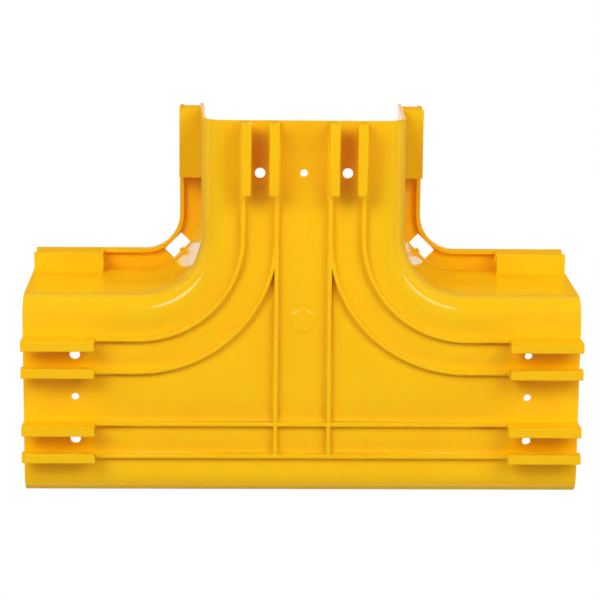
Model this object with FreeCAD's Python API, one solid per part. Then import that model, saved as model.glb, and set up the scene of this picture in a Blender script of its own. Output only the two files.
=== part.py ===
import FreeCAD, Part
import math
import os

# Raceway tee, moulded in one piece: an open trough with a straight run and one branch at its side.
# It is drawn in millimetres with the run along X, the branch towards -Y and the open side up.
# While it is drawn, the two centre lines cross at the origin and the base's underside is at Z = 0.

# Trough
trough_width = 159.0            # outside, where the walls meet the base
arm_reach = 220.5               # crossing to each end of the run
branch_reach = 220.5            # crossing to the end of the branch
wall_height = 118.0             # base's underside to the rim
wall = 3.0
lean = math.radians(1.75)       # how far each wall leans out
bottom_radius = 18.0            # outside radius between the base and a wall
bend_radius = 50.0              # inner corner between the branch and the run, at the base

# Hooked rim
hook_reach = 20.1               # trough side at the base to the outside of the lip
hook_thickness = 3.2
lip_thickness = 3.5
lip_drop = 8.5                  # rim to the lower edge of the lip

# Latch pockets at the wall ends
pocket_length = 58.0
pocket_drop = 28.0              # rim to the underside of the pocket
pocket_setback = 1.6            # channel end to the pocket's end wall
pocket_wall = 2.5
pocket_end_drop = 2.0           # rim to the top of an end wall
lead_in_top = 1.2               # outer wall's end, from the channel end, at the rim
lead_in_bottom = 3.6            # the same at the pocket's floor

# Slotted rails under the base
slot_spacing = 68.4             # centre to centre of the two slots at an end
slot_width = 29.2               # over the outsides of both webs
slot_mouth = 14.0
rail_height = 22.0
rail_length = 57.0              # at both ends of the run
branch_rail_length = 55.5
rail_web = 3.0
rail_lip = 10.0                 # how deep the mouth is
rail_root = 2.4

# Ribs under the base
rib_thickness = 3.0
rib_height = 5.5
rib_root = 1.6

# Holes and the gate mark
hole_setback = 40.9             # channel end to the row of holes
slot_hole = 8.2
pilot_hole = 5.9
right_front_hole = 5.9          # the right end's two slot holes are smaller
right_rear_hole = 6.8
right_rear_offset = 1.0         # this one sits a little behind the middle of its slot
gate_radius = 10.0              # at the base
gate_top_radius = 8.8
gate_height = 0.6
gate_y = -62.0

# Window in each inner corner of the hooked rim
window_length = 19.6
window_width = 10.8
window_gap = 0.4                # lip's inner face to the window
nub_width = 4.0
nub_reach = 1.8                 # past the edge of the window

# Edges
fine_edge = 0.6
rim_edge = 1.4
hook_root = 1.0
overlap = 1.0                   # how deep one feature runs into the next before they are joined
root_rise = 0.5                 # a root's slope ends this far inside the base

half = trough_width / 2
bend_centre = half + bend_radius
seam = bottom_radius + 2.0      # the base plate ends this far inside the trough's side
tan_lean = math.tan(lean)
wall_across = wall / math.cos(lean)
hook_underside = wall_height - hook_thickness
pocket_bottom = wall_height - pocket_drop
web_offset = slot_width / 2 - rail_web / 2
inner_rib = slot_spacing / 2 - web_offset
outer_rib = slot_spacing / 2 + web_offset
rib_end_x = arm_reach - rail_length + overlap
rib_end_y = branch_reach - branch_rail_length + overlap

UP = FreeCAD.Vector(0, 0, 1)
ORIGIN = FreeCAD.Vector(0, 0, 0)


def vector(x, y, z=0.0):
    return FreeCAD.Vector(x, y, z)


def rounded_face(corners):
    """A flat face across the run from corners (y, z, radius), each rounded by its own radius."""
    points = [vector(0.0, y, z) for y, z, _ in corners]
    edges = []
    starts = []
    for index, (_, _, radius) in enumerate(corners):
        point = points[index]
        back = (points[index - 1] - point).normalize()
        ahead = (points[(index + 1) % len(points)] - point).normalize()
        if radius == 0:
            starts.append((point, None, point))
            continue
        half_angle = back.getAngle(ahead) / 2
        middle = (back + ahead).normalize()
        run = radius / math.tan(half_angle)
        depth = radius / math.sin(half_angle) - radius
        starts.append((point + back * run, point + middle * depth, point + ahead * run))
    for index, (first, crown, last) in enumerate(starts):
        if crown is not None:
            edges.append(Part.Arc(first, crown, last).toShape())
        following = starts[(index + 1) % len(starts)][0]
        if (following - last).Length > 1e-6:
            edges.append(Part.LineSegment(last, following).toShape())
    return Part.Face(Part.Wire(Part.__sortEdges__(edges)))


def moved(shape, x, y, z=0.0):
    copy = shape.copy()
    copy.translate(vector(x, y, z))
    return copy


def turned(shape, degrees, x=0.0, y=0.0):
    copy = shape.copy()
    copy.rotate(vector(x, y), UP, degrees)
    return copy


def mirrored_x(shape):
    return shape.mirror(ORIGIN, vector(1, 0))


def mirrored_y(shape):
    return shape.mirror(ORIGIN, vector(0, 1))


def outer_side(height):
    """Distance of the wall's outer face from the trough's side at a height."""
    return height * tan_lean


def inner_side(height):
    return outer_side(height) - wall_across


def wall_face():
    """Section of a wall with its share of the base, outwards along +Y from the trough's side."""
    lip_bottom = wall_height - lip_drop
    return rounded_face([
        (-seam, 0.0, 0.0),
        (outer_side(0.0), 0.0, bottom_radius),
        (outer_side(hook_underside), hook_underside, hook_root),
        (hook_reach - lip_thickness, hook_underside, hook_root),
        (hook_reach - lip_thickness, lip_bottom, fine_edge),
        (hook_reach, lip_bottom, fine_edge),
        (hook_reach, wall_height, rim_edge),
        (inner_side(wall_height), wall_height, fine_edge),
        (inner_side(wall), wall, bottom_radius - wall),
        (-seam, wall, 0.0),
    ])


def rear_wall():
    section = moved(wall_face(), -arm_reach, half)
    return section.extrude(vector(2 * arm_reach, 0))


def around_corner(section, run_x, run_y):
    """Carries a section, given at the run's side and facing -Y, along an arm, round the bend and up the branch."""
    arm = section.extrude(vector(-run_x, 0))
    bend = section.revolve(vector(-bend_centre, -bend_centre), UP, -90)
    end = turned(section, -90, -bend_centre, -bend_centre)
    branch = end.extrude(vector(0, -run_y))
    return [arm, bend, branch]


def front_wall():
    section = moved(mirrored_y(wall_face()), -bend_centre, -half)
    return around_corner(section, arm_reach - bend_centre, branch_reach - bend_centre)


def base_plate():
    """The flat of the base, out to where the rounded wall sections begin."""
    side = half - seam
    bend = bend_centre - side
    slope = bend / math.sqrt(2)
    left_start = vector(-bend_centre, -side)
    left_crown = vector(-bend_centre + slope, -bend_centre + slope)
    left_end = vector(-side, -bend_centre)
    right_start = vector(side, -bend_centre)
    right_crown = vector(bend_centre - slope, -bend_centre + slope)
    right_end = vector(bend_centre, -side)
    lines = [
        (right_end, vector(arm_reach, -side)),
        (vector(arm_reach, -side), vector(arm_reach, side)),
        (vector(arm_reach, side), vector(-arm_reach, side)),
        (vector(-arm_reach, side), vector(-arm_reach, -side)),
        (vector(-arm_reach, -side), left_start),
        (left_end, vector(-side, -branch_reach)),
        (vector(-side, -branch_reach), vector(side, -branch_reach)),
        (vector(side, -branch_reach), right_start),
    ]
    edges = [Part.LineSegment(first, last).toShape() for first, last in lines]
    edges.append(Part.Arc(left_start, left_crown, left_end).toShape())
    edges.append(Part.Arc(right_start, right_crown, right_end).toShape())
    outline = Part.Wire(Part.__sortEdges__(edges))
    return Part.Face(outline).extrude(vector(0, 0, wall))


def rib_face(thickness, height, root):
    """Section of a rib that hangs from the base, with a rounded root on both sides."""
    side = thickness / 2
    foot = side + root
    return rounded_face([
        (-foot, root_rise, 0.0),
        (-side, -root_rise, root),
        (-side, -height, fine_edge),
        (side, -height, fine_edge),
        (side, -root_rise, root),
        (foot, root_rise, 0.0),
    ])


def rail_face(side):
    """Section of one rail of a slot: a web at +Y times side and a lip that turns in over the slot."""
    out = slot_width / 2
    web_in = out - rail_web
    lip_in = slot_mouth / 2
    return rounded_face([
        (side * (out + rail_root), root_rise, 0.0),
        (side * out, -root_rise, rail_root),
        (side * out, -rail_height, fine_edge),
        (side * lip_in, -rail_height, fine_edge),
        (side * lip_in, rail_lip - rail_height, fine_edge),
        (side * web_in, rail_lip - rail_height, hook_root),
        (side * web_in, -root_rise, rail_root),
        (side * (web_in - rail_root), root_rise, 0.0),
    ])


def end_rails(length):
    """The four rails of one channel end, inwards along +X from the end."""
    rails = []
    for slot in (-1, 1):
        for side in (-1, 1):
            section = moved(rail_face(side), 0, slot * slot_spacing / 2)
            rails.append(section.extrude(vector(length, 0)))
    return rails


def at_run_ends(shape):
    """Copies of a shape drawn inwards from a channel end, at the two ends of the run."""
    left = moved(shape, -arm_reach, 0)
    return [left, mirrored_x(left)]


def at_branch_end(shape):
    return moved(turned(shape, 90), 0, -branch_reach)


def ribs():
    section = rib_face(rib_thickness, rib_height, rib_root)
    parts = []
    for offset in (inner_rib, outer_rib):
        along = moved(section, -rib_end_x, offset)
        parts.append(along.extrude(vector(2 * rib_end_x, 0)))
    for offset in (inner_rib, outer_rib):
        at_bend = moved(section, -bend_centre, -offset)
        left = around_corner(at_bend, rib_end_x - bend_centre, rib_end_y - bend_centre)
        parts += left + [mirrored_x(part) for part in left]
    across = moved(turned(section, 90), inner_rib, -bend_centre)
    middle = across.extrude(vector(0, bend_centre + outer_rib))
    return parts + [middle, mirrored_x(middle)]


def pocket_block():
    """The solid block of a latch pocket, inwards along +X and outwards along +Y."""
    inside = inner_side(pocket_bottom) + wall_across / 2
    section = rounded_face([
        (inside, pocket_bottom, 0.0),
        (hook_reach, pocket_bottom, fine_edge),
        (hook_reach, wall_height, rim_edge),
        (inside, wall_height, 0.0),
    ])
    return moved(section, pocket_setback, 0).extrude(vector(pocket_length - pocket_setback, 0))


def pocket_hollow():
    """What is cored out of a pocket from above, and the lead-in cut at the outer wall's end."""
    floor = pocket_bottom + wall
    top = wall_height + overlap
    section = rounded_face([
        (outer_side(floor), floor, 0.0),
        (hook_reach - lip_thickness, floor, hook_root),
        (hook_reach - lip_thickness, top, 0.0),
        (outer_side(top), top, 0.0),
    ])
    start = pocket_setback + pocket_wall
    length = pocket_length - start - pocket_wall
    core = moved(section, start, 0).extrude(vector(length, 0))
    end_top = wall_height - pocket_end_drop
    depth = hook_reach - lip_thickness - outer_side(end_top)
    step = Part.makeBox(start + overlap, depth, pocket_end_drop + overlap)
    step.translate(vector(-overlap, outer_side(end_top), end_top))
    return [core, step]


def lead_in():
    """A sloping cut across the end of the hook's lip and of the pocket's outer wall."""
    corners = [
        vector(-overlap, 0, pocket_bottom + wall),
        vector(lead_in_bottom, 0, pocket_bottom + wall),
        vector(lead_in_top, 0, wall_height + overlap),
        vector(-overlap, 0, wall_height + overlap),
    ]
    face = Part.Face(Part.makePolygon(corners + corners[:1]))
    cut = face.extrude(vector(0, lip_thickness + overlap))
    cut.translate(vector(0, hook_reach - lip_thickness))
    return cut


def hook_trim():
    """Clears the hook between a channel end and its pocket, so that only the wall reaches the end."""
    clear = outer_side(wall_height)
    low = wall_height - lip_drop - overlap
    trim = Part.makeBox(pocket_setback + overlap, hook_reach - lip_thickness - clear, wall_height - low + overlap)
    trim.translate(vector(-overlap, clear, low))
    return trim


def at_each_wall(shape):
    """Copies of a shape drawn at a wall's end, at all six wall ends of the three channel ends."""
    rear_left = moved(shape, -arm_reach, half)
    front_left = mirrored_y(rear_left)
    branch_left = moved(turned(shape, 90), -half, -branch_reach)
    left = [rear_left, front_left, branch_left]
    return left + [mirrored_x(part) for part in left]


def corner_feature(shape):
    """Places a shape, drawn outwards along +X from the bend's axis, in both inner corners."""
    left = moved(turned(shape, 45), -bend_centre, -bend_centre)
    return [left, mirrored_x(left)]


def window():
    start = bend_radius - hook_reach + lip_thickness + window_gap
    cut = Part.makeBox(window_width, window_length, hook_thickness + 2 * overlap)
    cut.translate(vector(start, -window_length / 2, hook_underside - overlap))
    return cut


def nub():
    edge = bend_radius - hook_reach + lip_thickness + window_gap + window_width
    start = edge - nub_reach
    length = bend_radius - outer_side(hook_underside) + overlap - start
    block = Part.makeBox(length, nub_width, hook_thickness - fine_edge)
    block.translate(vector(start, -nub_width / 2, hook_underside))
    return block


def drill(x, y, diameter):
    return Part.makeCylinder(diameter / 2, wall + 2 * overlap, vector(x, y, -overlap))


def holes():
    """Two slot holes with a pilot hole midway between them, at each end."""
    row_x = arm_reach - hole_setback
    row_y = hole_setback - branch_reach
    slot = slot_spacing / 2
    left = [drill(-row_x, -slot, slot_hole), drill(-row_x, slot, slot_hole)]
    right = [drill(row_x, -slot, right_front_hole), drill(row_x, slot + right_rear_offset, right_rear_hole)]
    branch = [drill(-slot, row_y, slot_hole), drill(slot, row_y, slot_hole)]
    pilots = [drill(-row_x, 0.0, pilot_hole), drill(row_x, 0.0, pilot_hole), drill(0.0, row_y, pilot_hole)]
    return left + right + branch + pilots


def gate_mark():
    """A low disc with a sloping edge, under the base."""
    disc = Part.makeCone(gate_top_radius, gate_radius, gate_height, vector(0, gate_y, -gate_height))
    root = Part.makeCylinder(gate_radius, overlap, vector(0, gate_y, 0))
    return disc.fuse(root)


def raceway_tee():
    solids = [rear_wall(), base_plate(), gate_mark()]
    left = front_wall()
    solids += left + [mirrored_x(part) for part in left]
    solids += ribs()
    for rail in end_rails(rail_length):
        solids += at_run_ends(rail)
    solids += [at_branch_end(rail) for rail in end_rails(branch_rail_length)]
    solids += at_each_wall(pocket_block())
    body = solids[0].multiFuse(solids[1:])
    cuts = holes() + corner_feature(window()) + at_each_wall(lead_in()) + at_each_wall(hook_trim())
    for hollow in pocket_hollow():
        cuts += at_each_wall(hollow)
    body = body.cut(Part.makeCompound(cuts))
    body = body.multiFuse(corner_feature(nub()))
    body = body.removeSplitter()
    shift = (branch_reach - half - hook_reach) / 2
    body.translate(vector(0, shift, rail_height))
    return body


tee = raceway_tee()
os.makedirs("parts", exist_ok=True)
tee.exportStep("parts/raceway_tee.step")
print("solids", len(tee.Solids), "valid", tee.isValid(), "volume", round(tee.Volume), "box", tee.BoundBox)
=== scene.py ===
import math

import bpy
from mathutils import Matrix, Vector


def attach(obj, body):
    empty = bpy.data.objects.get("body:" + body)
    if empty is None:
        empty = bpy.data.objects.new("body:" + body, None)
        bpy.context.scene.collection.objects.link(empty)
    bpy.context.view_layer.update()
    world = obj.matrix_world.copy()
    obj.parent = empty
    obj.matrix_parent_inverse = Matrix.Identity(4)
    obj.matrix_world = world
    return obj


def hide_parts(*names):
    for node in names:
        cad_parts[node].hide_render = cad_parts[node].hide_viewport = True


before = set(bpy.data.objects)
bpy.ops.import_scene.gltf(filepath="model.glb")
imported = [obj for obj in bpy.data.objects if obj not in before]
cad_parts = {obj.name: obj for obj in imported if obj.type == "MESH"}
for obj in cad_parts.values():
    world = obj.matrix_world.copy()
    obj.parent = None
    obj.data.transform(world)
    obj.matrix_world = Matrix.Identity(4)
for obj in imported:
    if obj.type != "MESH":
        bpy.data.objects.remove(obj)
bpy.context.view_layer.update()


# The tee. One injection moulding in yellow polycarbonate-ABS: trough, hooked rim, latch pockets, slotted rails and
# ribs come out of the tool together. The tool was polished, so the skin is smooth with a soft gloss. The plastic came
# in at a gate in the middle of the base, and ran out from there to the three ends.
MERGE_DISTANCE = 0.00001
FLAT_ANGLE = math.radians(0.2)
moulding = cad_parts["raceway_tee"]
bpy.ops.object.select_all(action="DESELECT")
moulding.select_set(True)
bpy.context.view_layer.objects.active = moulding
bpy.ops.object.duplicate()
tee = bpy.context.active_object
tee.name = "tee_moulding"
bpy.ops.object.mode_set(mode="EDIT")
bpy.ops.mesh.select_all(action="SELECT")
bpy.ops.mesh.remove_doubles(threshold=MERGE_DISTANCE)
bpy.ops.mesh.dissolve_limited(angle_limit=FLAT_ANGLE)
bpy.ops.mesh.select_all(action="DESELECT")
bpy.ops.object.mode_set(mode="OBJECT")

GATE = (0.0, -0.00155, 0.0216)
EJECTOR_MARKS = ((-0.0165, -0.0985, 0.022), (0.0, 0.104, 0.022), (-0.118, 0.0605, 0.022), (0.118, 0.0605, 0.022))
EJECTOR_RADIUS = 0.0045
RING_EDGE = 0.0005
RING_HEIGHT = 2.0               # against the grain's height of 1
DEEP_YELLOW = (0.985, 0.555, 0.0045, 1.0)
BRIGHT_YELLOW = (1.0, 0.58, 0.0055, 1.0)
FLOW_DRIFT = 0.03               # how far a flow mark strays, in metres
FLOW_MARKS = 420.0              # radians of wave in a metre
FLOW_HEIGHT = 0.06
SKIN_RELIEF = 0.00006


def feed(tree, value, socket):
    """Joins a socket to another one, or sets it to a plain number or colour."""
    if isinstance(value, bpy.types.NodeSocket):
        tree.links.new(value, socket)
    else:
        socket.default_value = value


def noise(tree, place, scale, detail):
    node = tree.nodes.new("ShaderNodeTexNoise")
    node.inputs["Scale"].default_value = scale
    node.inputs["Detail"].default_value = detail
    tree.links.new(place, node.inputs["Vector"])
    return node.outputs["Fac"]


def distance(tree, place, point):
    node = tree.nodes.new("ShaderNodeVectorMath")
    node.operation = "DISTANCE"
    node.inputs[1].default_value = point
    tree.links.new(place, node.inputs[0])
    return node.outputs["Value"]


def reckon(tree, operation, *values):
    """A Math node on plain numbers or sockets."""
    node = tree.nodes.new("ShaderNodeMath")
    node.operation = operation
    for index, value in enumerate(values):
        feed(tree, value, node.inputs[index])
    return node.outputs["Value"]


def graded(tree, value, start, end, low=0.0, high=1.0, smooth=False):
    """A Map Range node: from start to end, the value goes from low to high."""
    node = tree.nodes.new("ShaderNodeMapRange")
    if smooth:
        node.interpolation_type = "SMOOTHSTEP"
    feed(tree, value, node.inputs["Value"])
    feed(tree, start, node.inputs["From Min"])
    feed(tree, end, node.inputs["From Max"])
    feed(tree, low, node.inputs["To Min"])
    feed(tree, high, node.inputs["To Max"])
    return node.outputs["Result"]


def yellow_plastic():
    """Glossy yellow moulding: faint mottling and flow marks, a fine skin, and the rings that ejector pins leave."""
    material = bpy.data.materials.new("yellow_moulded_plastic")
    material.use_nodes = True
    tree = material.node_tree
    skin = tree.nodes["Principled BSDF"]
    skin.inputs["IOR"].default_value = 1.5
    skin.inputs["Subsurface Weight"].default_value = 0.4
    skin.inputs["Subsurface Radius"].default_value = (1.0, 0.2, 0.03)
    skin.inputs["Subsurface Scale"].default_value = 0.007
    place = tree.nodes.new("ShaderNodeTexCoord").outputs["Object"]

    mottle = noise(tree, place, 14.0, 3.0)
    tint = tree.nodes.new("ShaderNodeValToRGB")
    deep, bright = tint.color_ramp.elements
    deep.position = 0.3
    deep.color = DEEP_YELLOW
    bright.position = 0.7
    bright.color = BRIGHT_YELLOW
    tree.links.new(mottle, tint.inputs["Fac"])
    tree.links.new(tint.outputs["Color"], skin.inputs["Base Color"])

    sheen_map = noise(tree, place, 38.0, 5.0)
    sheen = graded(tree, sheen_map, 0.0, 1.0, 0.09, 0.15)
    tree.links.new(sheen, skin.inputs["Roughness"])

    drift = noise(tree, place, 9.0, 2.0)
    flow_path = reckon(tree, "MULTIPLY_ADD", drift, FLOW_DRIFT, distance(tree, place, GATE))
    flow_wave = reckon(tree, "SINE", reckon(tree, "MULTIPLY", flow_path, FLOW_MARKS))
    grain = noise(tree, place, 650.0, 3.0)
    surface = reckon(tree, "MULTIPLY_ADD", flow_wave, FLOW_HEIGHT, grain)
    for mark in EJECTOR_MARKS:
        away = distance(tree, place, mark)
        ring = graded(tree, away, EJECTOR_RADIUS, EJECTOR_RADIUS + RING_EDGE, 0.0, RING_HEIGHT, smooth=True)
        surface = reckon(tree, "ADD", surface, ring)
    relief = tree.nodes.new("ShaderNodeBump")
    relief.inputs["Strength"].default_value = 0.35
    relief.inputs["Distance"].default_value = SKIN_RELIEF
    tree.links.new(surface, relief.inputs["Height"])
    tree.links.new(relief.outputs["Normal"], skin.inputs["Normal"])
    return material


tee.data.materials.clear()
tee.data.materials.append(yellow_plastic())
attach(tee, "root")
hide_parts("raceway_tee")


# The floor that the rails stand on: a pale sheet with a cleared underside, so that a camera below it sees the
# fitting's base. It takes the fitting's shadow, and leaves the lamps below it free.
FLOOR_SIZE = 14.0
FLOOR_HEIGHT = -0.0004
FLOOR_COLOUR = (0.86, 0.86, 0.86, 1.0)
bpy.ops.object.select_all(action="DESELECT")
bpy.ops.mesh.primitive_plane_add(size=FLOOR_SIZE, location=(0.0, 0.0, FLOOR_HEIGHT))
floor = bpy.context.active_object
floor.name = "studio_floor"
bpy.ops.object.transform_apply(location=True, rotation=True, scale=True)
floor.visible_diffuse = False
floor.visible_glossy = False
floor.visible_transmission = False
floor.visible_shadow = False


def studio_floor():
    """Matt white sheet seen from above only."""
    material = bpy.data.materials.new("studio_floor")
    material.use_nodes = True
    tree = material.node_tree
    sheet = tree.nodes["Principled BSDF"]
    sheet.inputs["Base Color"].default_value = FLOOR_COLOUR
    sheet.inputs["Roughness"].default_value = 0.9
    sheet.inputs["Specular IOR Level"].default_value = 0.0
    clear = tree.nodes.new("ShaderNodeBsdfTransparent")
    side = tree.nodes.new("ShaderNodeNewGeometry")
    either = tree.nodes.new("ShaderNodeMixShader")
    tree.links.new(side.outputs["Backfacing"], either.inputs["Fac"])
    tree.links.new(sheet.outputs["BSDF"], either.inputs[1])
    tree.links.new(clear.outputs["BSDF"], either.inputs[2])
    tree.links.new(either.outputs["Shader"], tree.nodes["Material Output"].inputs["Surface"])
    return material


floor.data.materials.append(studio_floor())


# The studio lamps. Below the floor, two long soft boxes on the branch's side leave the streaks on the two inner
# bends, and fills that no gloss shows light the rest of the base.
MIDDLE = Vector((0.0, 0.0, 0.07))
SOFT_BOX = (1.9, 0.6)
WIDE_FILL = (1.4, 0.9)
ROUND_FILL = (0.9, 0.9)


def soft_lamp(name, position, size, power):
    """An elliptic area lamp that is turned to the fitting's middle."""
    data = bpy.data.lights.new(name, "AREA")
    data.shape = "ELLIPSE"
    data.size, data.size_y = size
    data.energy = power
    lamp = bpy.data.objects.new(name, data)
    lamp.location = position
    lamp.rotation_euler = (MIDDLE - Vector(position)).to_track_quat("-Z", "Y").to_euler()
    bpy.context.collection.objects.link(lamp)
    return lamp


soft_lamp("left_soft_box", (-1.25, -1.30, -1.53), SOFT_BOX, 14.5)
soft_lamp("right_soft_box", (1.34, -1.30, -1.44), SOFT_BOX, 11.5)
fills = [
    soft_lamp("left_fill", (-0.91, -1.16, -1.82), WIDE_FILL, 18.0),
    soft_lamp("right_fill", (0.95, -1.13, -1.82), WIDE_FILL, 14.5),
    soft_lamp("left_side", (-1.84, 0.0, -1.47), ROUND_FILL, 4.0),
    soft_lamp("right_side", (1.84, 0.0, -1.47), ROUND_FILL, 8.0),
    soft_lamp("rear_left_low", (-1.64, 1.64, -0.55), ROUND_FILL, 15.0),
    soft_lamp("rear_right_low", (1.64, 1.64, -0.55), ROUND_FILL, 14.0),
]
for fill in fills:
    fill.visible_glossy = False


# The white room round the studio. The camera sees it plain white, and it lights the open trough softly from above.
# A gloss sees a white sweep overhead, a warm card in front of it, and a horizon that is dim towards the branch.
SOFT_LIGHT_BELOW = 0.02
SWEEP_STRENGTH = 0.88
HORIZON_STRENGTH = 0.65
REST_STRENGTH = 0.15
WHITE = (1.0, 1.0, 1.0, 1.0)
WARM_CARD = (5.5, 2.3, 0.1, 1.0)


def blended(tree, kind, share, first, second):
    """A Mix node: the first value where the share is 0, and the second where it is 1."""
    node = tree.nodes.new("ShaderNodeMix")
    node.data_type = kind
    feed(tree, share, node.inputs["Factor"])
    feed(tree, first, node.inputs["A"])
    feed(tree, second, node.inputs["B"])
    return node.outputs["Result"]


def studio_world():
    world = bpy.data.worlds.new("studio")
    world.use_nodes = True
    tree = world.node_tree
    room = tree.nodes["Background"]
    ray = tree.nodes.new("ShaderNodeLightPath")
    split = tree.nodes.new("ShaderNodeSeparateXYZ")
    tree.links.new(tree.nodes.new("ShaderNodeTexCoord").outputs["Generated"], split.inputs["Vector"])
    depth = split.outputs["Y"]
    height = split.outputs["Z"]

    overhead = graded(tree, height, 0.93, 0.965, smooth=True)
    sweep = reckon(tree, "MULTIPLY", overhead, graded(tree, depth, -0.1, -0.02, smooth=True))
    card = reckon(tree, "MULTIPLY", overhead, graded(tree, depth, -0.02, -0.08))
    card_in_gloss = reckon(tree, "MULTIPLY", card, ray.outputs["Is Glossy Ray"])
    tree.links.new(blended(tree, "RGBA", card_in_gloss, WHITE, WARM_CARD), room.inputs["Color"])

    soft_light = graded(tree, height, 0.0, 0.2, SOFT_LIGHT_BELOW, 1.0)
    aside = graded(tree, depth, -0.95, -0.6, 0.0, HORIZON_STRENGTH)
    horizon = graded(tree, reckon(tree, "ABSOLUTE", height), 0.05, 0.2, aside, REST_STRENGTH, smooth=True)
    seen_in_gloss = graded(tree, sweep, 0.0, 1.0, horizon, SWEEP_STRENGTH)
    for_gloss = blended(tree, "FLOAT", ray.outputs["Is Glossy Ray"], soft_light, seen_in_gloss)
    for_camera = blended(tree, "FLOAT", ray.outputs["Is Camera Ray"], for_gloss, 1.0)
    tree.links.new(for_camera, room.inputs["Strength"])
    return world


bpy.context.scene.world = studio_world()
bpy.context.scene.view_settings.view_transform = "Standard"


# The camera looks up at the base from below the branch's side, 11.5 degrees off square.
CAMERA_PLACE = (-0.04621, -0.37489, -1.73837)
RIGHT = Vector((0.99968485, -0.00931687, -0.02331093))
DOWN = Vector((0.00449861, 0.98003457, -0.19877624))
AHEAD = Vector((0.02469749, 0.19860873, 0.97976763))
FOCAL_PIXELS = 2282.1
HALF_PIXEL = 0.5 / FOCAL_PIXELS
lens = bpy.data.cameras.new("studio_camera")
lens.sensor_width = 36.0
lens.lens = 136.93
lens.clip_end = 50.0
camera = bpy.data.objects.new("studio_camera", lens)
aim = (AHEAD - HALF_PIXEL * RIGHT - HALF_PIXEL * DOWN).normalized()
side = (RIGHT + HALF_PIXEL * AHEAD).normalized()
up = -aim.cross(side).normalized()
turn = Matrix((side, up, -aim)).transposed().to_4x4()
camera.matrix_world = Matrix.Translation(CAMERA_PLACE) @ turn
bpy.context.collection.objects.link(camera)
bpy.context.scene.camera = camera
